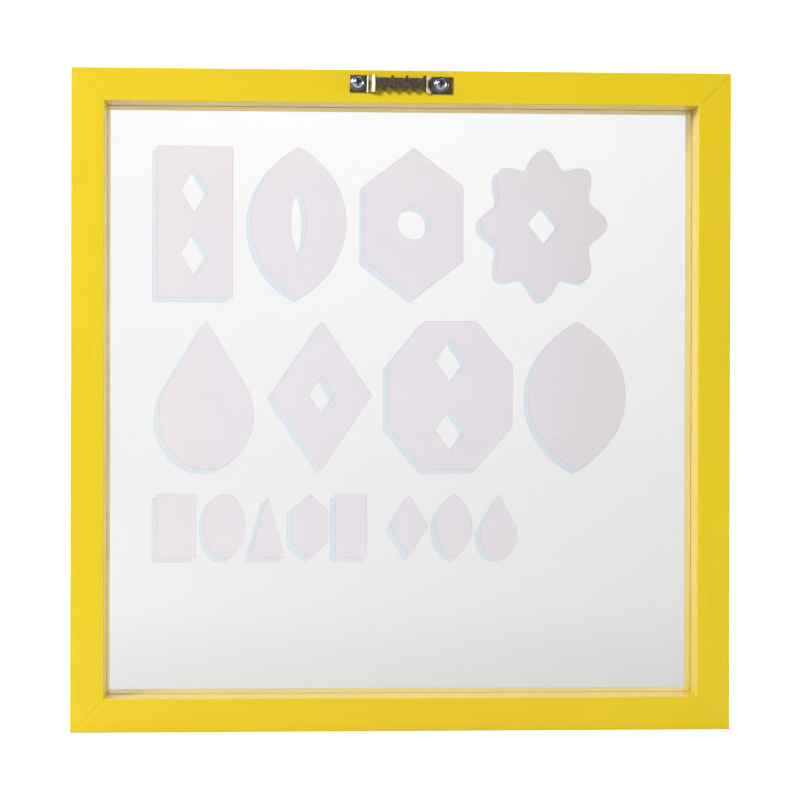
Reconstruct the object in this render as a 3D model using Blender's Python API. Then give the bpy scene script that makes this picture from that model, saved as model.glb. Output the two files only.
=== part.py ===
"""Square picture frame that holds a clear glass screen print, with a sawtooth hanger on its back.

Four grooved wooden rails meet in mitred corners around a loose pane of glass. Two brads through the top
and bottom rails pin each corner, and two pan-head screws hold the hanger. Metres, +Z up. The back, with
the hanger, faces -Y and the printed side faces +Y. +X is on the right as seen from behind. The origin is
the centre of the bottom of the bounding box.
"""

import math

import bmesh
import bpy
import numpy as np
from mathutils import Matrix, Vector

# Driving dimensions
FRAME_SIDE = 0.300
RAIL_WIDTH = 0.015
RAIL_DEPTH = 0.034
EDGE_RADIUS = 0.0004
PANE_THICKNESS = 0.003
GROOVE_DEPTH = 0.006
GAP = 0.0003

BRAD_LENGTH = 0.030
BRAD_RADIUS = 0.0007
BRAD_HEAD_RADIUS = 0.0011
BRAD_HEAD_HEIGHT = 0.0006
BRAD_SINK = 0.001
BRAD_DEPTHS = (0.008, 0.026)

SHEET = 0.0008
HANGER_LENGTH = 0.0467
HANGER_HEIGHT = 0.0078
HANGER_DROP = 0.0067
HANGER_SHIFT = -0.0012
HANGER_TILT = math.radians(0.75)
BRIDGE_HALF = 0.0115
BRIDGE_LIFT = 0.0022
LEFT_TAB = 0.0077
RIGHT_TAB = 0.0094
TOOTH_COUNT = 5
TOOTH_PITCH = 0.00447
TOOTH_DEPTH = 0.0017
TOOTH_TIP_RISE = 0.0004
TEETH_SHIFT = -0.0009
ROOT_HALF = 0.00025
TOP_CUT = 0.0011
NUB_ENDS = (-0.0114, -0.0035, 0.0030)
NUB_STARTS = (-0.0046, 0.0019, 0.0098)
NUB_SLOPE = 0.00015

SCREW_SPACING = 0.0377
SCREW_OFFSET = -0.0009
SCREW_RISE = 0.0004
SCREW_LENGTH = 0.012
SCREW_CORE_RADIUS = 0.0012
SCREW_THREAD_RADIUS = 0.00175
SCREW_THREAD_PITCH = 0.0013
SCREW_HEAD_RADIUS = 0.0035
SCREW_HEAD_HEIGHT = 0.0022
RECESS_SPAN = 0.0037
RECESS_WIDTH = 0.0009
RECESS_DEPTH = 0.0015

# Places that follow from them
HALF_SIDE = FRAME_SIDE / 2
GROOVE_WIDTH = PANE_THICKNESS + 2 * GAP
PANE_SIDE = FRAME_SIDE - 2 * (RAIL_WIDTH - GROOVE_DEPTH) - 4 * GAP
HEAD_SEAT = 2 * GAP + SHEET
TOTAL_DEPTH = RAIL_DEPTH + HEAD_SEAT + SCREW_HEAD_HEIGHT
BACK_Y = HEAD_SEAT + SCREW_HEAD_HEIGHT - TOTAL_DEPTH / 2
HANGER_Z = FRAME_SIDE - HANGER_DROP
FACING_BACK = Matrix.Rotation(math.radians(90), 4, "X")


def clear_scene():
    for scene_object in list(bpy.data.objects):
        bpy.data.objects.remove(scene_object, do_unlink=True)


def make_material(name, colour, roughness, metallic=0.0, transmission=0.0):
    material = bpy.data.materials.new(name)
    material.use_nodes = True
    shader = material.node_tree.nodes["Principled BSDF"]
    shader.inputs["Base Color"].default_value = (*colour, 1.0)
    shader.inputs["Roughness"].default_value = roughness
    shader.inputs["Metallic"].default_value = metallic
    shader.inputs["Transmission Weight"].default_value = transmission
    material.diffuse_color = (*colour, 1.0)
    return material


def add_object(name, mesh, matrix, parent, material=None):
    """Links a mesh as one named object, placed in the parent's frame."""
    new_object = bpy.data.objects.new(name, mesh)
    bpy.context.scene.collection.objects.link(new_object)
    new_object.parent = parent
    location, rotation, _ = matrix.decompose()
    new_object.location = location
    new_object.rotation_euler = rotation.to_euler()
    if material:
        mesh.materials.append(material)
    return new_object


def to_mesh(name, shape):
    """Ends a bmesh: its faces are turned out and it becomes a mesh."""
    bmesh.ops.recalc_face_normals(shape, faces=shape.faces)
    mesh = bpy.data.meshes.new(name)
    shape.to_mesh(mesh)
    shape.free()
    return mesh


def loft(name, sections):
    """A closed body through equal rings of points, capped at both ends."""
    shape = bmesh.new()
    rings = [[shape.verts.new(point) for point in section] for section in sections]
    count = len(rings[0])
    for ring, following in zip(rings, rings[1:]):
        for i in range(count):
            j = (i + 1) % count
            shape.faces.new((ring[i], ring[j], following[j], following[i]))
    shape.faces.new(rings[0])
    shape.faces.new(rings[-1])
    return to_mesh(name, shape)


def turned(name, profile, sides):
    """A closed round body about Z from (radius, height) points; its first and last lie on the axis."""
    shape = bmesh.new()
    start = shape.verts.new((0, 0, profile[0][1]))
    end = shape.verts.new((0, 0, profile[-1][1]))
    rings = []
    for radius, height in profile[1:-1]:
        turns = [2 * math.pi * i / sides for i in range(sides)]
        ring = [shape.verts.new((radius * math.cos(a), radius * math.sin(a), height)) for a in turns]
        rings.append(ring)
    for i in range(sides):
        j = (i + 1) % sides
        shape.faces.new((start, rings[0][i], rings[0][j]))
        shape.faces.new((end, rings[-1][j], rings[-1][i]))
        for ring, following in zip(rings, rings[1:]):
            shape.faces.new((ring[i], following[i], following[j], ring[j]))
    mesh = to_mesh(name, shape)
    mesh.shade_smooth()
    mesh.set_sharp_from_angle(angle=math.radians(35))
    return mesh


def arc(centre, radius, start, end, steps):
    """Points on a circle from one angle to another, in degrees, both ends included."""
    points = []
    for i in range(steps + 1):
        turn = math.radians(start + (end - start) * i / steps)
        points.append((centre[0] + radius * math.cos(turn), centre[1] + radius * math.sin(turn)))
    return points


def cut(target, cutters):
    for cutter in cutters:
        boolean = target.modifiers.new(cutter.name, "BOOLEAN")
        boolean.operation = "DIFFERENCE"
        boolean.solver = "EXACT"
        boolean.object = cutter


def hide_cutter(cutter):
    cutter.hide_render = True
    cutter.display_type = "WIRE"
    return cutter


def rail_section():
    """(distance in from the outer face, distance from the back face) around one rail."""
    r = EDGE_RADIUS
    groove_back = (RAIL_DEPTH - GROOVE_WIDTH) / 2
    groove_front = (RAIL_DEPTH + GROOVE_WIDTH) / 2
    floor = RAIL_WIDTH - GROOVE_DEPTH
    section = arc((r, r), r, 180, 270, 3)
    section += arc((RAIL_WIDTH - r, r), r, -90, 0, 3)
    section += [(RAIL_WIDTH, groove_back), (floor, groove_back)]
    section += [(floor, groove_front), (RAIL_WIDTH, groove_front)]
    section += arc((RAIL_WIDTH - r, RAIL_DEPTH - r), r, 0, 90, 3)
    section += arc((r, RAIL_DEPTH - r), r, 90, 180, 3)
    return section


def rail_mesh(name):
    """A rail along X whose outer face is half a side above the frame's centre, with mitred ends."""
    back_off = GAP / 2 * math.sqrt(2)
    ends = []
    for side in (-1, 1):
        points = []
        for inward, depth in rail_section():
            reach = HALF_SIDE - inward - back_off
            points.append((side * reach, depth, HALF_SIDE - inward))
        ends.append(points)
    return loft(name, ends)


def brad_profile(margin):
    """The brad's outline from its point up, grown by a margin for the hole it sits in."""
    shank = BRAD_RADIUS + margin
    head = BRAD_HEAD_RADIUS + margin
    top = margin + (BRAD_SINK if margin else 0.0)
    tip = -BRAD_LENGTH - margin
    profile = [(0, tip), (shank, tip + 2 * BRAD_RADIUS)]
    profile += [(shank, -BRAD_HEAD_HEIGHT - margin), (head, -BRAD_HEAD_HEIGHT - margin)]
    return profile + [(head, top), (0, top)]


def brad_places():
    """Name and place of each brad; its local Z points out of the rail that it is driven through."""
    inset = HALF_SIDE - RAIL_WIDTH / 2
    reach = HALF_SIDE - BRAD_SINK
    places = []
    for level, turn in (("top", 0), ("bottom", 180)):
        for side, x in (("left", -inset), ("right", inset)):
            for face, depth in zip(("back", "front"), BRAD_DEPTHS):
                z = reach if level == "top" else -reach
                matrix = Matrix.Translation((x, depth, z)) @ Matrix.Rotation(math.radians(turn), 4, "X")
                places.append((f"brad_{level}_{side}_{face}", level, side, matrix))
    return places


def add_rails(centre, wood):
    """The four rails by name, each the same mitred length turned about the frame's centre."""
    rails = {}
    for name, turn in (("top_rail", 0), ("right_stile", 90), ("bottom_rail", 180), ("left_stile", -90)):
        place = Matrix.Rotation(math.radians(turn), 4, "Y")
        rails[name] = add_object(name, rail_mesh(name), place, centre, wood)
    return rails


def add_brads(centre, rails, steel):
    """Eight brads, and the stepped holes that they fill in a rail and the stile behind it."""
    for name, level, side, matrix in brad_places():
        add_object(name, turned(name, brad_profile(0.0), 10), matrix, centre, steel)
        hole = turned(f"hole_{name}", brad_profile(GAP), 12)
        cutter = hide_cutter(add_object(f"hole_{name}", hole, matrix, centre))
        cut(rails[f"{level}_rail"], [cutter])
        cut(rails[f"{side}_stile"], [cutter])


def add_pane(centre, glass):
    """The loose pane, with its sharp edges taken off."""
    shape = bmesh.new()
    size = (PANE_SIDE, PANE_THICKNESS, PANE_SIDE, 1)
    bmesh.ops.create_cube(shape, size=1.0, matrix=Matrix.Diagonal(size))
    bmesh.ops.bevel(shape, geom=shape.edges[:], offset=GAP, segments=1, affect="EDGES")
    place = Matrix.Translation((0, RAIL_DEPTH / 2, 0))
    add_object("glass_pane", to_mesh("glass_pane", shape), place, centre, glass)


def ramp(start_x, end_x, start_lift, end_lift):
    """Middle line of a ramp between two flats, easing in and out of it like a pressed bend."""
    steps = 8
    points = []
    for i in range(steps + 1):
        share = i / steps
        eased = share * share * (3 - 2 * share)
        points.append((start_x + (end_x - start_x) * share, start_lift + (end_lift - start_lift) * eased))
    return points


def lower_edge():
    """(along, height) corners of the toothed edge, from the left tab to the right one."""
    bottom = -HANGER_HEIGHT / 2
    root = bottom + TOOTH_TIP_RISE + TOOTH_DEPTH
    points = [(-HANGER_LENGTH / 2, bottom), (-BRIDGE_HALF, bottom)]
    for i in range(TOOTH_COUNT):
        middle = TEETH_SHIFT + TOOTH_PITCH * (i - (TOOTH_COUNT - 1) / 2)
        points += [(middle - ROOT_HALF, root), (middle + ROOT_HALF, root)]
        if i < TOOTH_COUNT - 1:
            points.append((middle + TOOTH_PITCH / 2, bottom + TOOTH_TIP_RISE))
    return points + [(BRIDGE_HALF, bottom), (HANGER_LENGTH / 2, bottom)]


def upper_edge():
    """(along, height) corners of the top edge, which is cut back between its nubs."""
    top = HANGER_HEIGHT / 2
    points = [(-HANGER_LENGTH / 2, top)]
    for start, end in zip(NUB_ENDS, NUB_STARTS):
        points += [(start, top), (start + NUB_SLOPE, top - TOP_CUT)]
        points += [(end - NUB_SLOPE, top - TOP_CUT), (end, top)]
    return points + [(HANGER_LENGTH / 2, top)]


def height_at(edge, along):
    """An edge's height at one place along the hanger."""
    places, heights = zip(*edge)
    return float(np.interp(along, places, heights))


def hanger_mesh():
    """A bent strip: two flat tabs, two ramps and a raised bridge with a toothed lower edge."""
    half = HANGER_LENGTH / 2
    low_edge, high_edge = lower_edge(), upper_edge()
    lift = SHEET / 2
    raised = lift + BRIDGE_LIFT
    corners = {x for x, _ in low_edge + high_edge if abs(x) < BRIDGE_HALF}
    line = [(-half, lift)]
    line += ramp(-half + LEFT_TAB, -BRIDGE_HALF, lift, raised)
    line += [(x, raised) for x in sorted(corners)]
    line += ramp(BRIDGE_HALF, half - RIGHT_TAB, raised, lift)
    line += [(half, lift)]
    sections = []
    for i, (x, height) in enumerate(line):
        before, after = line[max(i - 1, 0)], line[min(i + 1, len(line) - 1)]
        along = Vector((after[0] - before[0], after[1] - before[1])).normalized()
        across = Vector((-along.y, along.x)) * SHEET / 2
        low, high = height_at(low_edge, x), height_at(high_edge, x)
        inner = (x - across.x, -(height - across.y))
        outer = (x + across.x, -(height + across.y))
        sections.append([(*inner, low), (*inner, high), (*outer, high), (*outer, low)])
    return loft("sawtooth_hanger", sections)


def screw_places():
    """Name, side and place of both hanger screws; local Z points out of the wood, from the head's seat."""
    middle = Matrix.Translation((HANGER_SHIFT, 0, HANGER_Z - HALF_SIDE))
    hanger = middle @ Matrix.Rotation(HANGER_TILT, 4, "Y")
    places = []
    for side, x, turn in (("left", -1, 8), ("right", 1, -6)):
        offset = SCREW_OFFSET + x * SCREW_SPACING / 2
        seat = Matrix.Translation((offset, -HEAD_SEAT, SCREW_RISE))
        places.append((side, hanger @ seat @ FACING_BACK @ Matrix.Rotation(math.radians(turn), 4, "Z")))
    return hanger, places


def screw_profile():
    """Outline from the point up: a cone, thread ridges, a plain neck and a domed pan head."""
    tip = -SCREW_LENGTH
    profile = [(0, tip), (SCREW_CORE_RADIUS, tip + 0.003)]
    height = tip + 0.003
    while height + SCREW_THREAD_PITCH < -0.001:
        profile.append((SCREW_THREAD_RADIUS, height + SCREW_THREAD_PITCH * 0.5))
        height += SCREW_THREAD_PITCH
        profile.append((SCREW_CORE_RADIUS, height))
    profile += [(SCREW_CORE_RADIUS, 0), (SCREW_HEAD_RADIUS - 0.0001, 0)]
    shoulder = SCREW_HEAD_HEIGHT * 0.45
    dome = arc((0, 0), 1.0, 0, 90, 6)
    for across, up in dome[:-1]:
        radius = SCREW_HEAD_RADIUS * (0.55 + 0.45 * across)
        profile.append((radius, shoulder + (SCREW_HEAD_HEIGHT - shoulder) * 0.86 * up))
    profile.append((SCREW_HEAD_RADIUS * 0.45, SCREW_HEAD_HEIGHT))
    return profile + [(0, SCREW_HEAD_HEIGHT)]


def cross_section(scale, height):
    """The twelve corners of a cross at one height."""
    arm, half = RECESS_SPAN / 2 * scale, RECESS_WIDTH / 2 * (0.4 + 0.6 * scale)
    points = []
    for quarter in range(4):
        turn = Matrix.Rotation(math.radians(90 * quarter), 4, "Z")
        for corner in ((half, half), (arm, half), (arm, -half)):
            rotated = turn.inverted() @ Vector((*corner, height))
            points.append(tuple(rotated))
    return points


def cross_cutter(name):
    """A tapered cross, from under the dome to above it."""
    top = SCREW_HEAD_HEIGHT + 0.0005
    bottom = SCREW_HEAD_HEIGHT - RECESS_DEPTH
    return loft(name, [cross_section(0.45, bottom), cross_section(1.1, top)])


def add_hanger(centre, top_rail, plated, zinc):
    """The hanger, the two screws that hold it, and their holes in the tabs and the top rail."""
    hanger_place, places = screw_places()
    hanger = add_object(
        "sawtooth_hanger",
        hanger_mesh(),
        Matrix.Translation((0, -GAP, 0)) @ hanger_place,
        centre,
        plated,
    )
    hole_radius = SCREW_THREAD_RADIUS + GAP
    hole_profile = [(0, -SCREW_LENGTH - GAP), (hole_radius, -SCREW_LENGTH - GAP)]
    hole_profile += [(hole_radius, GAP), (0, GAP)]
    for side, place in places:
        name = f"hanger_screw_{side}"
        screw = add_object(name, turned(name, screw_profile(), 20), place, centre, zinc)
        recess = hide_cutter(add_object(f"recess_{side}", cross_cutter(f"recess_{side}"), place, centre))
        cut(screw, [recess])
        hole = turned(f"hole_{name}", hole_profile, 16)
        cutter = hide_cutter(add_object(f"hole_{name}", hole, place, centre))
        cut(hanger, [cutter])
        cut(top_rail, [cutter])


def main():
    clear_scene()
    wood = make_material("yellow_lacquered_wood", (0.86, 0.60, 0.03), 0.35)
    glass = make_material("clear_glass", (0.95, 0.97, 0.97), 0.03, transmission=1.0)
    plated = make_material("plated_steel", (0.60, 0.55, 0.44), 0.30, metallic=1.0)
    zinc = make_material("zinc_plated_steel", (0.66, 0.70, 0.76), 0.25, metallic=1.0)
    steel = make_material("bright_steel", (0.55, 0.55, 0.55), 0.35, metallic=1.0)
    centre = bpy.data.objects.new("frame_centre", None)
    bpy.context.scene.collection.objects.link(centre)
    centre.location = (0, BACK_Y, HALF_SIDE)
    rails = add_rails(centre, wood)
    add_pane(centre, glass)
    add_brads(centre, rails, steel)
    add_hanger(centre, rails["top_rail"], plated, zinc)


main()
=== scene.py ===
"""The looks of a yellow float frame that holds a screen print on glass, seen from its back.

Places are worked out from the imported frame, in metres. In the code, "inward" runs from a rail's outer face
to its inner one, and "depth" from the back face, at -Y, to the front one.
"""

import math

import bmesh
import bpy
import numpy as np
from mathutils import Matrix, Vector, geometry


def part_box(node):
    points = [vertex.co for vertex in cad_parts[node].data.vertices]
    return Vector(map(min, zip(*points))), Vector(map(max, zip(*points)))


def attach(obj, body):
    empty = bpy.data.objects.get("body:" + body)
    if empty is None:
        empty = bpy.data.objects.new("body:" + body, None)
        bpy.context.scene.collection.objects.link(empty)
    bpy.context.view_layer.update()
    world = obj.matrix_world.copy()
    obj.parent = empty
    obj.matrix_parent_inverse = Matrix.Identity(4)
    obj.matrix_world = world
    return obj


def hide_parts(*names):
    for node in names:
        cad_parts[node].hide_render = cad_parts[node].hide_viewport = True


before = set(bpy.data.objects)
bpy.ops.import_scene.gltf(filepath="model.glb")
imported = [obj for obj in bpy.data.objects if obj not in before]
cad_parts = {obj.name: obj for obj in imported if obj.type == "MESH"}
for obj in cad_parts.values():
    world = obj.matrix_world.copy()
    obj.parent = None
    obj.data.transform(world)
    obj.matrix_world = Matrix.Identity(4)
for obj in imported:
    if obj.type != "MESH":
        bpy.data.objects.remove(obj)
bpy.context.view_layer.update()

MM = 0.001
BODY = "root"

# Read from the frame
RAIL_LOW, RAIL_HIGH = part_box("top_rail")
PANE_LOW, PANE_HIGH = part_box("glass_pane")
HANGER_LOW, HANGER_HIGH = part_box("sawtooth_hanger")
HALF_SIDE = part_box("right_stile")[1][0]
RAIL_WIDTH = RAIL_HIGH[2] - RAIL_LOW[2]
RAIL_DEPTH = RAIL_HIGH[1] - RAIL_LOW[1]
BACK_Y = RAIL_LOW[1]
PANE_THICKNESS = PANE_HIGH[1] - PANE_LOW[1]
PANE_HALF = PANE_HIGH[0]
CENTRE = Vector((0, BACK_Y, RAIL_HIGH[2] - HALF_SIDE))

# Wood
GROOVE_CLEARANCE = 0.3 * MM
GROOVE_END_CLEARANCE = 0.6 * MM
EDGE_RADIUS = 0.4 * MM
ARC_STEPS = 6
MITRE_GAP = 0.004 * MM
# Each rail's turn about Y, then how far the arrises at its left and right ends are eased and how far its
# mitre opens at the outer corner, as seen with the rail at the top
RAILS = {
    "top_rail": (0, (0.05 * MM, 0.05 * MM), (0.0, 0.09 * MM)),
    "right_stile": (90, (0.16 * MM, 0.02 * MM), (0.09 * MM, 0.0)),
    "bottom_rail": (180, (0.02 * MM, 0.14 * MM), (0.0, 0.0)),
    "left_stile": (-90, (0.02 * MM, 0.04 * MM), (0.0, 0.0)),
}
BRAD_CORNERS = ("top_left", "top_right", "bottom_left", "bottom_right")
FILLER_SIDES = 24
FILLER_RADIUS = 1.35 * MM
FILLER_DEPTH = 0.8 * MM
FILLER_SUNK = 0.06 * MM
# Share of the hole's radius, then how far the filler has sunk there, in FILLER_SUNK
FILLER_DISH = ((0.98, 1), (0.6, 1.6), (0, 2))
NAIL_HOLE_DEPTH = 0.9 * MM
# How far the shapes that cut holes stand out of a surface
CUTTER_PROUD = 1 * MM

# Hanger, along X from its middle, and across it from its middle height
SHEET = 0.8 * MM
HANGER_LENGTH = 46.7 * MM
HANGER_HEIGHT = 7.8 * MM
HANGER_TILT = math.radians(0.75)
BRIDGE_HALF = 11.5 * MM
BRIDGE_LIFT = 2.2 * MM
LEFT_TAB = 7.7 * MM
TOOTH_COUNT = 5
TOOTH_PITCH = 4.47 * MM
TOOTH_DEPTH = 1.7 * MM
TOOTH_TIP_RISE = 0.4 * MM
TEETH_SHIFT = -0.9 * MM
ROOT_HALF = 0.25 * MM
TOP_CUT = 1.1 * MM
NUB_ENDS = (-11.4 * MM, -3.5 * MM, 3.0 * MM)
NUB_STARTS = (-4.6 * MM, 1.9 * MM, 9.8 * MM)
NUB_SLOPE = 0.15 * MM
HANGER_LIFT = 0.03 * MM
RAMP_STEPS = 24
# Share of a ramp's length, then how steep it is there
LEFT_SLOPES = (
    (0, 0), (0.08, 0.38), (0.2, 0.44), (0.3, 0.9), (0.45, 0.9), (0.58, 0.46), (0.88, 0.34), (1, 0),
)
RIGHT_SLOPES = ((0, 0), (0.15, 1), (0.85, 1), (1, 0))
RIGHT_RAMP = (10.8 * MM, 13.8 * MM)
TAB_HOLE_SIDES = 32
TAB_HOLE_RADIUS = 2.05 * MM
TAB_HOLE_DEPTH = 3 * MM

# Screws
SCREW_SIDES = 48
SCREW_LENGTH = 12 * MM
# How far each screw's cross is turned, in degrees
SCREW_TURNS = {"left": 8, "right": -6}
NECK_LENGTH = 0.8 * MM
POINT_SLOPE = 0.45
CORE_RADIUS = 1.2 * MM
THREAD_RADIUS = 1.75 * MM
THREAD_PITCH = 1.3 * MM
THREAD_START = 1 * MM
THREAD_FADE = 3 * MM
RINGS_PER_TURN = 8
# Half of a ridge's width, as a share of the pitch
RIDGE_HALF = 0.25
HEAD_RADIUS = 3.5 * MM
HEAD_HEIGHT = 2.2 * MM
RIM_HEIGHT = 0.5 * MM
RIM_ROUNDING = 0.1 * MM
RIM_LEDGE = 0.22 * MM
DOME_RADIUS = 2.7 * MM
DOME_FOOT = 0.95 * MM
# (beyond the dome's radius, above the rim) where the dome flares into the rim
DOME_FLARE = ((0.25 * MM, 0), (0.02 * MM, 0.12 * MM))
RECESS_SPAN = 3.9 * MM
RECESS_WIDTH = 0.95 * MM
RECESS_DEPTH = 1.5 * MM
RECESS_PROUD = 0.5 * MM
# Size of the cross at its foot and where it leaves the head, against RECESS_SPAN
RECESS_FOOT = 0.45
RECESS_MOUTH = 1.1
# Share of the slots' width that doesn't taper
RECESS_STRAIGHT = 0.4

# Print
INK = 0.03 * MM
INK_GAP = 0.01 * MM
INK_SHIFT = Vector((-2.1 * MM, -1.9 * MM))
INK_CORNER = 1.0 * MM
CORNER_STEPS = 5
# Width of the band along each ink shape's edges that takes the darker edge ink
EDGE_BAND = 0.35 * MM

# Marks on the wood
MARK_FILM = 0.012 * MM
MARK_GAP = 0.002 * MM
PENCIL_LENGTH = 2.3 * MM
PENCIL_WIDTH = 0.16 * MM
PENCIL_FROM_MIDDLE = -0.8 * MM
PENCIL_FROM_TOP = 1.2 * MM
# How far the line strays to the side at even steps down it, in millimetres
PENCIL_SWAY = (0.05, -0.03, 0.02, -0.05, 0.03)
FLECK_HALF_SIZE = (0.95 * MM, 0.28 * MM)
FLECK_FROM_CORNER = (2.8 * MM, 0, -3.0 * MM)
# Share of the fleck's size reached at even steps round it
FLECK_REACHES = (1.0, 0.62, 0.8, 0.5, 0.95, 0.6, 0.7, 0.55)

# Studio: lens and sensor in millimetres, the camera's turn in degrees
CAMERA_LENS = 94.67
CAMERA_SENSOR = 36
CAMERA_FROM_CENTRE = (-0.0500, -0.9538, 0.0045)
CAMERA_TURN = (89.75, -0.148, -2.919)
FLOOR_REACH = -6.0
SWEEP_HALF_WIDTH = 5.0
SWEEP_FOOT = 0.5
SWEEP_RADIUS = 2.0
SWEEP_TOP = 4.0
SWEEP_STEPS = 32
# What only the camera's own rays meet, so that the surroundings come out white
PAPER_GLOW = 0.6
ROOM_GLOW = 0.8
# How far a direction points to the backdrop, or up, and the strength of the room's light over that range
BEYOND_RANGE, BEYOND_STRENGTH = (-0.4, 0.5), (0.13, 0.36)
HORIZON_RANGE, HORIZON_STRENGTH = (0.0, 0.2), (0.19, 0.0)


# ---------------------------------------------------------------- meshes


def new_piece(name, mesh, place=None, material=None, stands_for=()):
    """Links a finished mesh as one piece of the object, riding on its body."""
    piece = bpy.data.objects.new(name, mesh)
    bpy.context.scene.collection.objects.link(piece)
    piece.matrix_world = place or Matrix.Identity(4)
    if material:
        mesh.materials.append(material)
    if stands_for:
        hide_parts(*stands_for)
    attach(piece, BODY)
    return piece


def to_mesh(name, shape):
    bmesh.ops.recalc_face_normals(shape, faces=shape.faces)
    mesh = bpy.data.meshes.new(name)
    shape.to_mesh(mesh)
    shape.free()
    return mesh


def loft(name, sections):
    """A closed body through equal rings of points, capped at both ends."""
    shape = bmesh.new()
    rings = [[shape.verts.new(point) for point in section] for section in sections]
    count = len(rings[0])
    for ring, following in zip(rings, rings[1:]):
        for i in range(count):
            j = (i + 1) % count
            shape.faces.new((ring[i], ring[j], following[j], following[i]))
    shape.faces.new(rings[0])
    shape.faces.new(rings[-1])
    return to_mesh(name, shape)


def turned(name, profile, sides, radius_at=None):
    """A closed round body about Z from (radius, height) points, whose ends lie on the axis."""
    shape = bmesh.new()
    start = shape.verts.new((0, 0, profile[0][1]))
    end = shape.verts.new((0, 0, profile[-1][1]))
    turns = [2 * math.pi * i / sides for i in range(sides)]
    rings = []
    for radius, height in profile[1:-1]:
        ring = []
        for turn in turns:
            r = radius_at(radius, height, turn) if radius_at else radius
            ring.append(shape.verts.new((r * math.cos(turn), r * math.sin(turn), height)))
        rings.append(ring)
    for i in range(sides):
        j = (i + 1) % sides
        shape.faces.new((start, rings[0][i], rings[0][j]))
        shape.faces.new((end, rings[-1][j], rings[-1][i]))
        for ring, following in zip(rings, rings[1:]):
            shape.faces.new((ring[i], following[i], following[j], ring[j]))
    return to_mesh(name, shape)


def arc(centre, radius, start, end, steps):
    """Points on a circle from one angle to another, in degrees, both ends included."""
    points = []
    for i in range(steps + 1):
        turn = math.radians(start + (end - start) * i / steps)
        points.append((centre[0] + radius * math.cos(turn), centre[1] + radius * math.sin(turn)))
    return points


def smooth(piece, angle, weighted=True):
    """Shades round stretches smooth and keeps flats flat."""
    piece.data.shade_smooth()
    piece.data.set_sharp_from_angle(angle=math.radians(angle))
    if weighted:
        normals = piece.modifiers.new("flat_faces", "WEIGHTED_NORMAL")
        normals.keep_sharp = True


def ease_edges(piece, width, angle=30):
    bevel = piece.modifiers.new("eased_edges", "BEVEL")
    bevel.width = width
    bevel.segments = 2
    bevel.limit_method = "ANGLE"
    bevel.angle_limit = math.radians(angle)


def carve(piece, cutters):
    """Cuts shapes out of a piece for good, and removes the cutters."""
    for cutter in cutters:
        boolean = piece.modifiers.new("cut", "BOOLEAN")
        boolean.solver = "EXACT"
        boolean.object = cutter
    bpy.context.view_layer.update()
    evaluated = piece.evaluated_get(bpy.context.evaluated_depsgraph_get())
    carved = bpy.data.meshes.new_from_object(evaluated)
    piece.modifiers.clear()
    piece.data = carved
    for cutter in cutters:
        bpy.data.objects.remove(cutter, do_unlink=True)


def hole_profile(radius, depth):
    """(radius, height) of the shape that cuts a round hole."""
    return [(0, -depth), (radius, -depth), (radius, CUTTER_PROUD), (0, CUTTER_PROUD)]


def cutter_object(name, mesh, place):
    cutter = bpy.data.objects.new(name, mesh)
    bpy.context.scene.collection.objects.link(cutter)
    cutter.matrix_world = place
    return cutter


# ---------------------------------------------------------------- materials


class Shader:
    """The node tree of a material or a world, written one line to a node."""

    def __init__(self, owner, output, space):
        owner.use_nodes = True
        self.owner = owner
        self.tree = owner.node_tree
        self.tree.nodes.clear()
        self.output = self.node(output)
        self.coordinates = self.node("TexCoord").outputs[space]

    def node(self, kind, settings=None, **inputs):
        """A node with its properties and inputs; an input is a value or another node's output."""
        made = self.tree.nodes.new(f"ShaderNode{kind}")
        for key, value in (settings or {}).items():
            setattr(made, key, value)
        for key, value in inputs.items():
            socket = made.inputs[int(key[1:])] if key[1:].isdigit() else made.inputs[key.replace("_", " ")]
            if isinstance(value, bpy.types.NodeSocket):
                self.tree.links.new(value, socket)
            else:
                socket.default_value = value
        return made

    def scaled(self, x, y, z):
        """Object coordinates, stretched along each axis."""
        mapping = self.node("Mapping", Vector=self.coordinates)
        mapping.inputs["Scale"].default_value = (x, y, z)
        return mapping.outputs["Vector"]

    def noise(self, scale, detail, stretch=(1, 1, 1), roughness=0.5):
        """Noise from 0 to 1, with scale in waves per metre."""
        made = self.node(
            "TexNoise", Vector=self.scaled(*stretch), Scale=scale, Detail=detail, Roughness=roughness
        )
        return made.outputs["Fac"]

    def remap(self, value, low, high, start, end, interpolation="LINEAR"):
        """Carries the range from low to high over to the one from start to end."""
        made = self.node("MapRange", {"interpolation_type": interpolation}, Value=value)
        for key, number in zip(("From Min", "From Max", "To Min", "To Max"), (low, high, start, end)):
            made.inputs[key].default_value = number
        return made.outputs["Result"]

    def mix(self, share, first, second, blend="MIX"):
        made = self.node("Mix", {"data_type": "RGBA", "blend_type": blend})
        for index, value in ((0, share), (6, first), (7, second)):
            if isinstance(value, bpy.types.NodeSocket):
                self.tree.links.new(value, made.inputs[index])
            else:
                made.inputs[index].default_value = value
        return made.outputs[2]

    def bump(self, height, distance, strength, normal=None):
        made = self.node("Bump", Height=height, Distance=distance, Strength=strength)
        if normal is not None:
            self.tree.links.new(normal, made.inputs["Normal"])
        return made.outputs["Normal"]

    def math(self, operation, first, second):
        return self.node("Math", {"operation": operation}, _0=first, _1=second).outputs["Value"]

    def light_path(self):
        return self.node("LightPath").outputs

    def finish(self, surface):
        self.tree.links.new(surface, self.output.inputs["Surface"])
        return self.owner


def material_shader(name):
    return Shader(bpy.data.materials.new(name), "OutputMaterial", "Object")


def rgb(red, green, blue):
    return (red, green, blue, 1.0)


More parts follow.
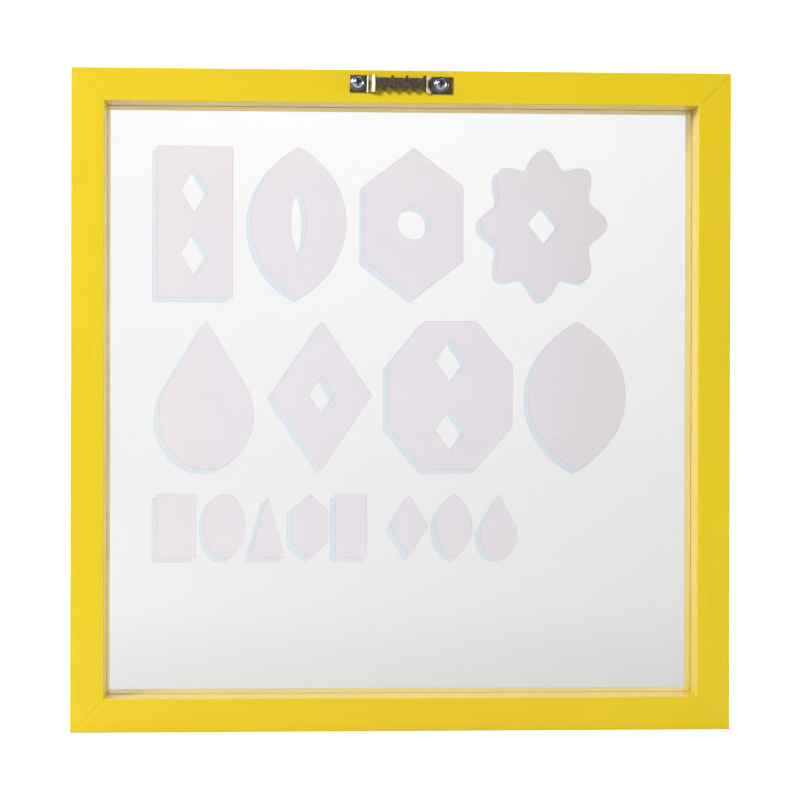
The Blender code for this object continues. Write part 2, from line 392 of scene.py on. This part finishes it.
def lacquered_wood():
    """Satin yellow lacquer, sprayed over sanded wood whose long grain barely shows."""
    s = material_shader("yellow_lacquer")
    cloud = s.noise(18, 3)
    grain = s.noise(420, 4, stretch=(0.03, 1, 1), roughness=0.6)
    peel = s.noise(420, 2)
    colour = s.mix(s.remap(cloud, 0.3, 0.7, 0, 1), rgb(0.775, 0.565, 0.009), rgb(0.805, 0.595, 0.012))
    colour = s.mix(s.remap(grain, 0.35, 0.75, 0, 0.35), colour, rgb(0.74, 0.53, 0.008))
    roughness = s.remap(s.noise(60, 3), 0.3, 0.7, 0.285, 0.325)
    relief = s.bump(grain, 0.0015 * MM, 0.5)
    relief = s.bump(peel, 0.002 * MM, 0.5, relief)
    shader = s.node("BsdfPrincipled", Base_Color=colour, Roughness=roughness, Normal=relief)
    return s.finish(shader.outputs["BSDF"])


def filler_putty():
    s = material_shader("touched_up_filler")
    grain = s.noise(2500, 3)
    colour = s.mix(s.remap(grain, 0.3, 0.7, 0, 1), rgb(0.70, 0.47, 0.02), rgb(0.80, 0.56, 0.03))
    relief = s.bump(grain, 0.05 * MM, 0.6)
    shader = s.node("BsdfPrincipled", Base_Color=colour, Roughness=0.55, Normal=relief)
    return s.finish(shader.outputs["BSDF"])


def clear_glass():
    """Float glass with a trace of handling haze; lamps shine through it."""
    s = material_shader("clear_float_glass")
    haze = s.remap(s.noise(35, 4), 0.45, 0.8, 0.0, 0.03)
    glass = s.node("BsdfPrincipled", Base_Color=rgb(0.975, 0.98, 0.978), Roughness=haze, IOR=1.5)
    glass.inputs["Transmission Weight"].default_value = 1.0
    let_through = s.node("BsdfTransparent", Color=rgb(0.96, 0.965, 0.963))
    path = s.light_path()
    lighting = s.math("MAXIMUM", path["Is Shadow Ray"], path["Is Diffuse Ray"])
    mixed = s.node("MixShader", _0=lighting, _1=glass.outputs["BSDF"], _2=let_through.outputs["BSDF"])
    return s.finish(mixed.outputs["Shader"])


def screen_ink(name, thin, full):
    """A pale film of ink, a little uneven, with the faint marks of the screen's mesh."""
    s = material_shader(name)
    mesh_marks = s.node("TexChecker", Vector=s.coordinates, Scale=2500)
    cloud = s.noise(55, 4)
    colour = s.mix(s.remap(cloud, 0.35, 0.65, 0, 1), thin, full)
    faint = s.mix(0.03, colour, mesh_marks.outputs["Color"], "MULTIPLY")
    shader = s.node("BsdfPrincipled", Base_Color=faint, Roughness=0.5)
    return s.finish(shader.outputs["BSDF"])


def plated_strip():
    """Bright plating over pressed strip, here coloured a dark, mottled olive brown."""
    s = material_shader("plated_strip")
    mottle = s.noise(800, 4)
    drawn = s.noise(900, 2, stretch=(0.15, 1, 1))
    base = s.mix(s.remap(mottle, 0.35, 0.65, 0, 1), rgb(0.165, 0.132, 0.08), rgb(0.29, 0.245, 0.165))
    colour = s.mix(s.remap(drawn, 0.45, 0.7, 0, 0.3), base, rgb(0.16, 0.13, 0.08))
    roughness = s.remap(mottle, 0.3, 0.7, 0.33, 0.36)
    shader = s.node("BsdfPrincipled", Base_Color=colour, Roughness=roughness, Metallic=1.0)
    return s.finish(shader.outputs["BSDF"])


def zinc_plate(name, dull, bright):
    """Blue-passivated zinc with a light bloom."""
    s = material_shader(name)
    bloom = s.noise(1300, 4)
    colour = s.mix(s.remap(bloom, 0.3, 0.7, 0, 1), dull, bright)
    roughness = s.remap(bloom, 0.3, 0.7, 0.21, 0.265)
    shader = s.node("BsdfPrincipled", Base_Color=colour, Roughness=roughness, Metallic=1.0)
    return s.finish(shader.outputs["BSDF"])


def brad_wire():
    s = material_shader("drawn_wire")
    drawn = s.noise(4000, 3, stretch=(1, 1, 0.05))
    colour = s.mix(s.remap(drawn, 0.3, 0.7, 0, 1), rgb(0.45, 0.45, 0.46), rgb(0.62, 0.62, 0.62))
    roughness = s.remap(drawn, 0.3, 0.7, 0.28, 0.42)
    shader = s.node("BsdfPrincipled", Base_Color=colour, Roughness=roughness, Metallic=1.0)
    return s.finish(shader.outputs["BSDF"])


def graphite():
    s = material_shader("pencil_graphite")
    grain = s.noise(5000, 3)
    colour = s.mix(s.remap(grain, 0.4, 0.6, 0, 1), rgb(0.16, 0.13, 0.06), rgb(0.42, 0.30, 0.04))
    shader = s.node("BsdfPrincipled", Base_Color=colour, Roughness=0.45)
    return s.finish(shader.outputs["BSDF"])


def bare_wood():
    s = material_shader("bare_wood")
    grain = s.noise(3000, 3)
    colour = s.mix(s.remap(grain, 0.3, 0.7, 0, 1), rgb(0.80, 0.52, 0.36), rgb(0.88, 0.64, 0.42))
    shader = s.node("BsdfPrincipled", Base_Color=colour, Roughness=0.7)
    return s.finish(shader.outputs["BSDF"])


def white_paper():
    """The plain floor and backdrop: matt paper that burns out to clean white where the camera meets it."""
    s = material_shader("white_sweep")
    tooth = s.noise(40, 2)
    colour = s.mix(s.remap(tooth, 0.3, 0.7, 0, 1), rgb(0.93, 0.93, 0.93), rgb(0.94, 0.94, 0.94))
    paper = s.node("BsdfPrincipled", Base_Color=colour, Roughness=0.9)
    paper.inputs["Specular IOR Level"].default_value = 0.1
    burn = s.math("MULTIPLY", s.light_path()["Is Camera Ray"], PAPER_GLOW)
    glow = s.node("Emission", Color=rgb(1, 1, 1), Strength=burn)
    both = s.node("AddShader", _0=paper.outputs["BSDF"], _1=glow.outputs["Emission"])
    return s.finish(both.outputs["Shader"])


# ---------------------------------------------------------------- wood


def rail_section(inset):
    """(inward, depth) around one rail, drawn in on every side by an inset."""
    r = EDGE_RADIUS
    groove = PANE_THICKNESS + 2 * GROOVE_CLEARANCE
    lip_back = (RAIL_DEPTH - groove) / 2 - inset
    lip_front = (RAIL_DEPTH + groove) / 2 + inset
    floor = HALF_SIDE - PANE_HALF - GROOVE_END_CLEARANCE - inset
    small = r - inset
    section = arc((r, r), small, 180, 270, ARC_STEPS)
    section += arc((RAIL_WIDTH - r, r), small, -90, 0, ARC_STEPS)
    section += [(RAIL_WIDTH - inset, lip_back), (floor, lip_back)]
    section += [(floor, lip_front), (RAIL_WIDTH - inset, lip_front)]
    section += arc((RAIL_WIDTH - r, RAIL_DEPTH - r), small, 0, 90, ARC_STEPS)
    section += arc((r, RAIL_DEPTH - r), small, 90, 180, ARC_STEPS)
    return section


def rail_ring(side, inset, back_off, opening):
    """One ring of a rail's mesh along the mitre at its end, which may open towards the outer corner."""
    ring = []
    for inward, depth in rail_section(inset):
        reach = HALF_SIDE - inward - back_off * math.sqrt(2) - opening * (1 - inward / RAIL_WIDTH)
        ring.append((side * reach, depth, HALF_SIDE - inward))
    return ring


def rail_mesh(name, eases, openings):
    """A rail along X with mitred ends, whose arrises are eased so that each joint shows as a fine line."""
    (left, right), (left_open, right_open) = eases, openings
    rings = [
        rail_ring(-1, left, MITRE_GAP, left_open),
        rail_ring(-1, 0, MITRE_GAP + left, left_open),
        rail_ring(1, 0, MITRE_GAP + right, right_open),
        rail_ring(1, right, MITRE_GAP, right_open),
    ]
    return loft(name, rings)


def filler_places():
    """Name, rail and place of the filled hole over each brad, with local Z out of the wood."""
    places = []
    for corner in BRAD_CORNERS:
        level = corner.split("_")[0]
        at_top = level == "top"
        for face in ("back", "front"):
            low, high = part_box(f"brad_{corner}_{face}")
            x, y = (low[0] + high[0]) / 2, (low[1] + high[1]) / 2
            z = RAIL_HIGH[2] if at_top else 0.0
            turn = Matrix.Rotation(0 if at_top else math.pi, 4, "X")
            place = Matrix.Translation((x, y, z)) @ turn
            places.append((f"filler_{corner}_{face}", f"{level}_rail", place))
    return places


def filler_profile():
    """(radius, height) of the filler in a nail hole, dished below the surface."""
    profile = [(0, -FILLER_DEPTH), (FILLER_RADIUS * FILLER_DISH[0][0], -FILLER_DEPTH)]
    return profile + [(FILLER_RADIUS * share, -FILLER_SUNK * dip) for share, dip in FILLER_DISH]


def make_rails(lacquer, putty):
    """The four rails, each turned round the frame's middle, and the filled holes over the brads."""
    rails = {}
    for name, (turn, eases, openings) in RAILS.items():
        place = Matrix.Translation(CENTRE) @ Matrix.Rotation(math.radians(turn), 4, "Y")
        mesh = rail_mesh(name, eases, openings)
        rails[name] = new_piece(f"lacquered_{name}", mesh, place, lacquer, (name,))
    cutters = {"top_rail": [], "bottom_rail": []}
    for name, rail, place in filler_places():
        hole = turned(name, hole_profile(FILLER_RADIUS, NAIL_HOLE_DEPTH), FILLER_SIDES)
        cutters[rail].append(cutter_object(f"cut_{name}", hole, place))
        plug = turned(name, filler_profile(), FILLER_SIDES)
        piece = new_piece(name, plug, place, putty)
        smooth(piece, 40, weighted=False)
    for rail, shapes in cutters.items():
        carve(rails[rail], shapes)
    for piece in rails.values():
        smooth(piece, 32)


# ---------------------------------------------------------------- print


def rounded(corners, radius):
    """A polygon's outline with each corner filleted."""
    outline = []
    count = len(corners)
    for i, corner in enumerate(corners):
        here = Vector(corner)
        before = Vector(corners[i - 1]) - here
        after = Vector(corners[(i + 1) % count]) - here
        half_angle = before.angle(after) / 2
        room = min(before.length, after.length) * 0.45
        reach = min(radius / math.tan(half_angle), room)
        start, end = here + before.normalized() * reach, here + after.normalized() * reach
        for k in range(CORNER_STEPS + 1):
            share = k / CORNER_STEPS
            outline.append((1 - share) ** 2 * start + 2 * share * (1 - share) * here + share**2 * end)
    return outline


def fitted(points, centre, width, height):
    """The points stretched to fill a box."""
    low = (min(x for x, _ in points), min(y for _, y in points))
    high = (max(x for x, _ in points), max(y for _, y in points))
    outline = []
    for x, y in points:
        across = (x - low[0]) / (high[0] - low[0]) - 0.5
        up = (y - low[1]) / (high[1] - low[1]) - 0.5
        outline.append((centre[0] + across * width, centre[1] + up * height))
    return outline


def polar(count, turn=0.0, radius_at=lambda _: 1.0):
    """Points round a centre, at a radius that depends on the angle."""
    turns = [2 * math.pi * i / count + math.radians(turn) for i in range(count)]
    return [(radius_at(t) * math.cos(t), radius_at(t) * math.sin(t)) for t in turns]


def leaf_points():
    """Two arcs that meet in points at the top and the bottom."""
    right = arc((-1.0, 0), 2.0, -60, 60, 24)
    return right + [(-x, -y) for x, y in right[1:-1]]


def drop_points():
    """A round bottom drawn up into a point."""
    return arc((0, 0), 1.0, 140, 400, 36) + [(0.0, 1.75)]


KINDS = {
    "block": lambda: polar(4, 45),
    "diamond": lambda: polar(4),
    "triangle": lambda: polar(3, 90),
    "hexagon": lambda: polar(6, 90),
    "octagon": lambda: polar(8, 22.5),
    "disc": lambda: polar(48),
    "flower": lambda: polar(96, 0, lambda t: 1.0 + 0.13 * math.cos(8 * t)),
    "leaf": leaf_points,
    "drop": drop_points,
}
ANGULAR = ("block", "diamond", "triangle", "hexagon", "octagon")


def shape_outline(kind, centre, width, height):
    outline = fitted(KINDS[kind](), centre, width, height)
    return rounded(outline, INK_CORNER) if kind in ANGULAR else [Vector(point) for point in outline]


# Each row's bottom and top, then its shapes: kind, left, right, and holes as (kind, width, height, distance
# above the middle), in millimetres from the middle of the frame
PRINT_ROWS = (
    ((47.0, 116.8), (
        ("block", -112.5, -77.6, (("diamond", 13, 21, 14.5), ("diamond", 13, 21, -14.5))),
        ("leaf", -69.5, -25.4, (("leaf", 7, 30, 0),)),
        ("hexagon", -17.3, 28.7, (("disc", 15, 15, 0),)),
        ("flower", 36.4, 95.8, (("diamond", 15, 19, 0),)),
    )),
    ((-32.1, 36.8), (
        ("drop", -111.6, -67.9, ()),
        ("diamond", -59.8, -13.4, (("diamond", 12, 18, 0),)),
        ("octagon", -6.2, 51.8, (("diamond", 14, 20, 16), ("diamond", 14, 20, -16))),
        ("leaf", 59.0, 104.6, ()),
    )),
    ((-72.8, -43.2), (
        ("block", -112.5, -94.3, ()),
        ("disc", -90.8, -71.6, ()),
        ("triangle", -69.9, -53.4, ()),
        ("hexagon", -50.6, -33.4, ()),
        ("block", -30.4, -15.7, ()),
        ("diamond", -4.8, 12.5, ()),
        ("leaf", 16.0, 33.2, ()),
        ("drop", 36.8, 54.1, ()),
    )),
)


def print_shapes():
    """Outline and holes of each printed shape: two rows of large shapes over a row of small ones."""
    shapes = []
    for (low, high), row in PRINT_ROWS:
        up = (low + high) / 2
        for kind, left, right, holes in row:
            across = (left + right) / 2
            outline = shape_outline(kind, (across * MM, up * MM), (right - left) * MM, (high - low) * MM)
            cuts = [
                shape_outline(inner, (across * MM, (up + rise) * MM), width * MM, height * MM)
                for inner, width, height, rise in holes
            ]
            shapes.append((outline, cuts))
    return shapes


def drawn_in(outline, amount):
    """The outline moved to its inner side by a fixed amount."""
    count = len(outline)
    moved = []
    for i, point in enumerate(outline):
        along = outline[(i + 1) % count] - outline[i - 1]
        moved.append(point + Vector((-along.y, along.x)).normalized() * amount)
    return moved


def turning_left(outline):
    """The outline ordered so that its inside is on the left."""
    area = sum(a.x * b.y - b.x * a.y for a, b in zip(outline, outline[1:] + outline[:1]))
    return outline if area > 0 else outline[::-1]


def film_mesh(name, shapes, near, far, shift):
    """Flat films of ink between two depths, each with a narrow band along its edges in the second, darker
    ink.
    """
    shape = bmesh.new()
    middle_x, middle_z = CENTRE.x + shift.x, CENTRE.z + shift.y
    for outline, holes in shapes:
        loops = [turning_left(outline)] + [turning_left(hole)[::-1] for hole in holes]
        inner = [drawn_in(loop, EDGE_BAND) for loop in loops]
        rims_at = []
        for depth in (near, far):
            rims, fields = [], []
            for loop, inset in zip(loops, inner):
                rims.append([shape.verts.new((p.x + middle_x, depth, p.y + middle_z)) for p in loop])
                fields.append([shape.verts.new((p.x + middle_x, depth, p.y + middle_z)) for p in inset])
            for rim, field in zip(rims, fields):
                for i in range(len(rim)):
                    j = (i + 1) % len(rim)
                    edge_band = shape.faces.new((rim[i], rim[j], field[j], field[i]))
                    edge_band.material_index = 1
            flat = [vert for field in fields for vert in field]
            flat_loops = [[Vector((p.x, p.y, 0)) for p in loop] for loop in inner]
            for triangle in geometry.tessellate_polygon(flat_loops):
                shape.faces.new([flat[i] for i in triangle])
            rims_at.append(rims)
        for near_rim, far_rim in zip(*rims_at):
            for i in range(len(near_rim)):
                j = (i + 1) % len(near_rim)
                wall = shape.faces.new((near_rim[i], near_rim[j], far_rim[j], far_rim[i]))
                wall.material_index = 1
    return to_mesh(name, shape)


def make_print():
    """The lilac ink lies on the glass, and the blue ink over it, out of register to the left and down."""
    shapes = print_shapes()
    front = PANE_HIGH[1] + INK_GAP
    lilac = screen_ink("lilac_ink", rgb(0.855, 0.80, 0.872), rgb(0.87, 0.812, 0.885))
    lilac_edge = screen_ink("lilac_ink_edge", rgb(0.76, 0.69, 0.78), rgb(0.79, 0.72, 0.80))
    blue = screen_ink("blue_ink", rgb(0.775, 0.825, 0.925), rgb(0.79, 0.84, 0.93))
    blue_edge = screen_ink("blue_ink_edge", rgb(0.69, 0.755, 0.87), rgb(0.72, 0.785, 0.88))
    mesh = film_mesh("print_lilac", shapes, front, front + INK, Vector((0, 0)))
    piece = new_piece("print_lilac", mesh, None, lilac)
    piece.data.materials.append(lilac_edge)
    over = front + INK + INK_GAP
    mesh = film_mesh("print_blue", shapes, over, over + INK, INK_SHIFT)
    piece = new_piece("print_blue", mesh, None, blue)
    piece.data.materials.append(blue_edge)


# ---------------------------------------------------------------- hanger


def ramp(start_x, end_x, start_lift, end_lift, slopes):
    """Middle line of a ramp between two flats, as steep along its length as the slopes say."""
    shares = [i / RAMP_STEPS for i in range(RAMP_STEPS + 1)]
    steepness = np.interp(shares, *zip(*slopes))
    climbed = np.concatenate(([0.0], np.cumsum(steepness[1:] + steepness[:-1])))
    climbed /= climbed[-1]
    points = []
    for share, eased in zip(shares, climbed):
        lift = start_lift + (end_lift - start_lift) * float(eased)
        points.append((start_x + (end_x - start_x) * share, lift))
    return points


def lower_edge():
    """(along, height) corners of the toothed edge, from the left tab to the right one."""
    bottom = -HANGER_HEIGHT / 2
    root = bottom + TOOTH_TIP_RISE + TOOTH_DEPTH
    points = [(-HANGER_LENGTH / 2, bottom), (-BRIDGE_HALF, bottom)]
    for i in range(TOOTH_COUNT):
        middle = TEETH_SHIFT + TOOTH_PITCH * (i - (TOOTH_COUNT - 1) / 2)
        points += [(middle - ROOT_HALF, root), (middle + ROOT_HALF, root)]
        if i < TOOTH_COUNT - 1:
            points.append((middle + TOOTH_PITCH / 2, bottom + TOOTH_TIP_RISE))
    return points + [(BRIDGE_HALF, bottom), (HANGER_LENGTH / 2, bottom)]


def upper_edge():
    """(along, height) corners of the top edge, which is cut back between its nubs."""
    top = HANGER_HEIGHT / 2
    points = [(-HANGER_LENGTH / 2, top)]
    for start, end in zip(NUB_ENDS, NUB_STARTS):
        points += [(start, top), (start + NUB_SLOPE, top - TOP_CUT)]
        points += [(end - NUB_SLOPE, top - TOP_CUT), (end, top)]
    return points + [(HANGER_LENGTH / 2, top)]


def height_at(edge, along):
    places, heights = zip(*edge)
    return float(np.interp(along, places, heights))


def hanger_mesh():
    """A bent strip: two flat tabs, two ramps and a raised bridge with a toothed lower edge."""
    half = HANGER_LENGTH / 2
    low_edge, high_edge = lower_edge(), upper_edge()
    lift = SHEET / 2
    raised = lift + BRIDGE_LIFT
    corners = {x for x, _ in low_edge + high_edge if -BRIDGE_HALF < x < RIGHT_RAMP[0]}
    line = [(-half, lift)]
    line += ramp(-half + LEFT_TAB, -BRIDGE_HALF, lift, raised, LEFT_SLOPES)
    line += [(x, raised) for x in sorted(corners)]
    line += ramp(*RIGHT_RAMP, raised, lift, RIGHT_SLOPES)
    line += [(half, lift)]
    sections = []
    for i, (x, height) in enumerate(line):
        before, after = line[max(i - 1, 0)], line[min(i + 1, len(line) - 1)]
        along = Vector((after[0] - before[0], after[1] - before[1])).normalized()
        across = Vector((-along.y, along.x)) * SHEET / 2
        low, high = height_at(low_edge, x), height_at(high_edge, x)
        inner = (x - across.x, -(height - across.y))
        outer = (x + across.x, -(height + across.y))
        sections.append([(*inner, low), (*inner, high), (*outer, high), (*outer, low)])
    return loft("pressed_hanger", sections)


def hanger_place():
    """The middle of the hanger, flat against the back of the top rail."""
    x = (HANGER_LOW[0] + HANGER_HIGH[0]) / 2
    z = (HANGER_LOW[2] + HANGER_HIGH[2]) / 2
    return Matrix.Translation((x, BACK_Y, z)) @ Matrix.Rotation(HANGER_TILT, 4, "Y")


def screw_place(side, turn):
    """The seat of one screw's head, with local Z out of the wood."""
    low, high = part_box(f"hanger_screw_{side}")
    x, z = (low[0] + high[0]) / 2, (low[2] + high[2]) / 2
    seat = low[1] + HEAD_HEIGHT
    facing = Matrix.Rotation(math.radians(90), 4, "X") @ Matrix.Rotation(math.radians(turn), 4, "Z")
    return Matrix.Translation((x, seat, z)) @ facing


def head_profile():
    """(radius, height) of the head from its seat up: a thin rim, a waist and a dome."""
    profile = [(HEAD_RADIUS - RIM_ROUNDING, 0), (HEAD_RADIUS, RIM_ROUNDING)]
    profile += [(HEAD_RADIUS, RIM_HEIGHT - RIM_ROUNDING), (HEAD_RADIUS - RIM_ROUNDING, RIM_HEIGHT)]
    profile.append((HEAD_RADIUS - RIM_LEDGE, RIM_HEIGHT))
    profile += [(DOME_RADIUS + beyond, RIM_HEIGHT + above) for beyond, above in DOME_FLARE]
    rise = HEAD_HEIGHT - DOME_FOOT
    radius = (DOME_RADIUS**2 + rise**2) / (2 * rise)
    steep = math.degrees(math.asin(DOME_RADIUS / radius))
    profile += arc((0, HEAD_HEIGHT - radius), radius, 90 - steep, 90, 12)[:-1]
    return profile


def screw_mesh(name):
    """A domed head over a plain neck, a helical thread and a point."""
    tip = -SCREW_LENGTH
    step = THREAD_PITCH / RINGS_PER_TURN
    profile = [(0, tip)]
    height = tip + step
    while height < -THREAD_START:
        profile.append((min(CORE_RADIUS, (height - tip) * POINT_SLOPE), height))
        height += step
    profile += [(CORE_RADIUS, -NECK_LENGTH), (CORE_RADIUS, 0)]
    profile += head_profile() + [(0, HEAD_HEIGHT)]

    def thread(radius, height, turn):
        if height > -THREAD_START:
            return radius
        phase = (height / THREAD_PITCH - turn / (2 * math.pi)) % 1.0
        ridge = max(0.0, 1.0 - abs(phase - 0.5) / RIDGE_HALF)
        fade = min(1.0, (height - tip) / THREAD_FADE)
        return radius + (THREAD_RADIUS - CORE_RADIUS) * ridge * fade

    return turned(name, profile, SCREW_SIDES, thread)


def shade_hollows(mesh):
    """Gives the waist under the dome and the recess the darker zinc: painted shade in these hollows."""
    waist_from, waist_to, waist_above = DOME_RADIUS * 0.97, HEAD_RADIUS - 0.2 * MM, 0.3 * MM
    recess_to, recess_above, below_dome = RECESS_SPAN * 0.6, 0.5 * MM, 0.15 * MM
    for face in mesh.polygons:
        middle = face.center
        reach = math.hypot(middle.x, middle.y)
        dome_height = HEAD_HEIGHT - (HEAD_HEIGHT - DOME_FOOT) * (reach / DOME_RADIUS) ** 2
        waist = waist_from < reach < waist_to and middle.z > waist_above
        recess = reach < recess_to and recess_above < middle.z < dome_height - below_dome
        if waist or recess:
            face.material_index = 1


def cross_section(scale, height):
    """The twelve corners of a cross at one height, with its arms scaled and its slots tapered."""
    arm = RECESS_SPAN / 2 * scale
    half = RECESS_WIDTH / 2 * (RECESS_STRAIGHT + (1 - RECESS_STRAIGHT) * scale)
    points = []
    for quarter in range(4):
        turn = Matrix.Rotation(math.radians(-90 * quarter), 4, "Z")
        for corner in ((half, half), (arm, half), (arm, -half)):
            points.append(tuple(turn @ Vector((*corner, height))))
    return points


def make_hanger(plating, zinc, dark_zinc):
    place = hanger_place()
    hanger = new_piece(
        "pressed_hanger",
        hanger_mesh(),
        Matrix.Translation((0, -HANGER_LIFT, 0)) @ place,
        plating,
        ("sawtooth_hanger",),
    )
    holes = []
    for side, turn in SCREW_TURNS.items():
        name = f"hanger_screw_{side}"
        seat = screw_place(side, turn)
        cross = loft(f"cross_{side}", [
            cross_section(RECESS_FOOT, HEAD_HEIGHT - RECESS_DEPTH),
            cross_section(RECESS_MOUTH, HEAD_HEIGHT + RECESS_PROUD),
        ])
        screw = new_piece(f"pan_head_{name}", screw_mesh(name), seat, zinc, (name,))
        carve(screw, [cutter_object("cross", cross, seat)])
        # the second slot, a darker zinc, is painted shade for the head's waist and recess
        screw.data.materials.append(dark_zinc)
        shade_hollows(screw.data)
        ease_edges(screw, 0.04 * MM, 50)
        smooth(screw, 40)
        hole = turned("hole", hole_profile(TAB_HOLE_RADIUS, TAB_HOLE_DEPTH), TAB_HOLE_SIDES)
        holes.append(cutter_object("hole", hole, seat))
    carve(hanger, holes)
    ease_edges(hanger, 0.1 * MM)
    smooth(hanger, 35)


# ---------------------------------------------------------------- marks


def patch_mesh(name, outline, thickness):
    """A thin flat patch in the XZ plane, its face towards -Y."""
    rings = [[(x, depth, z) for x, z in outline] for depth in (0.0, -thickness)]
    return loft(name, rings)


def pencil_outline():
    """A line that sways, and is narrower at its ends."""
    left, right = [], []
    for i, sway in enumerate(PENCIL_SWAY):
        z = -PENCIL_LENGTH * i / (len(PENCIL_SWAY) - 1)
        taper = 0.6 + 0.4 * math.sin(math.pi * (i + 0.5) / len(PENCIL_SWAY))
        left.append((sway * MM - PENCIL_WIDTH / 2 * taper, z))
        right.append((sway * MM + PENCIL_WIDTH / 2 * taper, z))
    return left + right[::-1]


def fleck_outline():
    """A ragged oval."""
    half_length, half_width = FLECK_HALF_SIZE
    outline = []
    for i, reach in enumerate(FLECK_REACHES):
        turn = 2 * math.pi * i / len(FLECK_REACHES)
        outline.append((half_length * reach * math.cos(turn), half_width * reach * math.sin(turn)))
    return outline


def make_marks():
    """The pencilled centre line above the hanger, and a fleck of bare wood on the top left mitre."""
    mark = patch_mesh("pencil_mark", pencil_outline(), MARK_FILM)
    top = RAIL_HIGH[2] - PENCIL_FROM_TOP
    place = Matrix.Translation((PENCIL_FROM_MIDDLE, BACK_Y - MARK_GAP, top))
    new_piece("pencil_mark", mark, place, graphite())
    fleck = patch_mesh("bare_fleck", fleck_outline(), MARK_FILM)
    corner = Vector((-HALF_SIDE, BACK_Y - MARK_GAP, RAIL_HIGH[2]))
    place = Matrix.Translation(corner + Vector(FLECK_FROM_CORNER))
    place = place @ Matrix.Rotation(math.radians(45), 4, "Y")
    new_piece("bare_fleck", fleck, place, bare_wood())


# ---------------------------------------------------------------- studio


def stage_strip(name, path):
    """A strip of the white sweep along (y, height) points."""
    shape = bmesh.new()
    edges = (-SWEEP_HALF_WIDTH, SWEEP_HALF_WIDTH)
    rows = [[shape.verts.new((x, y, z)) for x in edges] for y, z in path]
    for row, following in zip(rows, rows[1:]):
        shape.faces.new((row[0], row[1], following[1], following[0]))
    strip = bpy.data.objects.new(name, to_mesh(name, shape))
    bpy.context.scene.collection.objects.link(strip)
    strip.data.materials.append(white_paper())
    strip.data.shade_smooth()
    return strip


def make_sweep():
    """A white floor that curves up into a backdrop behind the frame."""
    seam = (0.0, 0.0)
    curve = arc((SWEEP_FOOT, SWEEP_RADIUS), SWEEP_RADIUS, -90, 0, SWEEP_STEPS)
    floor = stage_strip("floor", [(FLOOR_REACH, 0.0), seam])
    backdrop = stage_strip("backdrop", [seam] + curve + [(SWEEP_FOOT + SWEEP_RADIUS, SWEEP_TOP)])
    return floor, backdrop


def area_light(name, place, target, size, watts, spares=(), lights_only=()):
    """A rectangular lamp aimed at a point, which spares some strips of the sweep or lights nothing else."""
    light = bpy.data.lights.new(name, "AREA")
    light.shape = "RECTANGLE"
    light.size, light.size_y = size
    light.energy = watts
    lamp = bpy.data.objects.new(name, light)
    bpy.context.scene.collection.objects.link(lamp)
    lamp.location = place
    lamp.rotation_euler = (Vector(target) - Vector(place)).to_track_quat("-Z", "Y").to_euler()
    receivers = bpy.data.collections.new(f"{name}_receivers")
    for strip in lights_only or spares:
        receivers.objects.link(strip)
    for member in receivers.collection_objects:
        member.light_linking.link_state = "INCLUDE" if lights_only else "EXCLUDE"
    lamp.light_linking.receiver_collection = receivers


def make_lights(floor, backdrop):
    """Four lamps for the object, two for the sweep alone.

    The key stands to the upper left of the camera, a weaker lamp to each side of the frame, and one beyond
    it. The sweep has a lamp for its wall and one for its floor.
    """
    middle = (0, 0, CENTRE.z)
    sweep = (floor, backdrop)
    area_light("key", (-1.35, -1.60, 1.02), middle, (0.6, 0.6), 46.8, spares=sweep)
    area_light("left", (-1.3, -0.25, 0.8), middle, (0.4, 0.6), 3.0, spares=(backdrop,))
    area_light("right", (1.5, -0.30, 0.28), middle, (0.4, 0.5), 8.0, spares=(backdrop,))
    area_light("beyond", (0.3, 0.7, 1.2), middle, (0.6, 0.6), 5.0, spares=sweep)
    area_light("wall", (-0.15, 0.9, 2.3), (0.2, 2.4, 1.2), (1.8, 1.2), 42, lights_only=sweep)
    area_light("ground", (-0.9, 0.35, 0.7), (0.0, 0.35, 0.0), (0.6, 0.6), 5.3, lights_only=sweep)


def make_world():
    """A dim room that brightens towards the backdrop and the horizon, and is pale where it is met directly.

    The glow along the horizon is near the floor's own, so that the floor's edge hardly shows in the glass.
    """
    world = bpy.data.worlds.new("studio")
    bpy.context.scene.world = world
    s = Shader(world, "OutputWorld", "Generated")
    direction = s.node("SeparateXYZ", Vector=s.coordinates).outputs
    beyond = s.remap(direction["Y"], *BEYOND_RANGE, *BEYOND_STRENGTH, "SMOOTHSTEP")
    horizon = s.remap(direction["Z"], *HORIZON_RANGE, *HORIZON_STRENGTH)
    pale = s.math("MULTIPLY", s.light_path()["Is Camera Ray"], ROOM_GLOW)
    strength = s.math("MAXIMUM", s.math("ADD", beyond, horizon), pale)
    background = s.node("Background", Color=rgb(1, 1, 1), Strength=strength)
    s.finish(background.outputs["Background"])


def make_camera():
    """Behind the frame, a little to the left, and turned towards its middle."""
    data = bpy.data.cameras.new("camera")
    data.lens = CAMERA_LENS
    data.sensor_width = CAMERA_SENSOR
    camera = bpy.data.objects.new("camera", data)
    bpy.context.scene.collection.objects.link(camera)
    aside, back, up = CAMERA_FROM_CENTRE
    camera.location = (aside, BACK_Y + back, CENTRE.z + up)
    camera.rotation_euler = [math.radians(angle) for angle in CAMERA_TURN]
    bpy.context.scene.camera = camera
    bpy.context.scene.view_settings.view_transform = "Standard"


# ---------------------------------------------------------------- the scene


def paint_carried_nodes(glass, wire):
    """The CAD solids that stay get their own finish."""
    for name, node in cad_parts.items():
        material = glass if name == "glass_pane" else wire if name.startswith("brad_") else None
        if material:
            for slot in node.material_slots:
                slot.material = material


make_camera()
make_rails(lacquered_wood(), filler_putty())
paint_carried_nodes(clear_glass(), brad_wire())
make_print()
make_hanger(
    plated_strip(),
    zinc_plate("blue_zinc", rgb(0.44, 0.50, 0.60), rgb(0.68, 0.72, 0.78)),
    # darker zinc: painted shade for the waist and the recess of each screw head
    zinc_plate("painted_shade_zinc", rgb(0.13, 0.155, 0.20), rgb(0.20, 0.23, 0.29)),
)
make_marks()
make_lights(*make_sweep())
make_world()
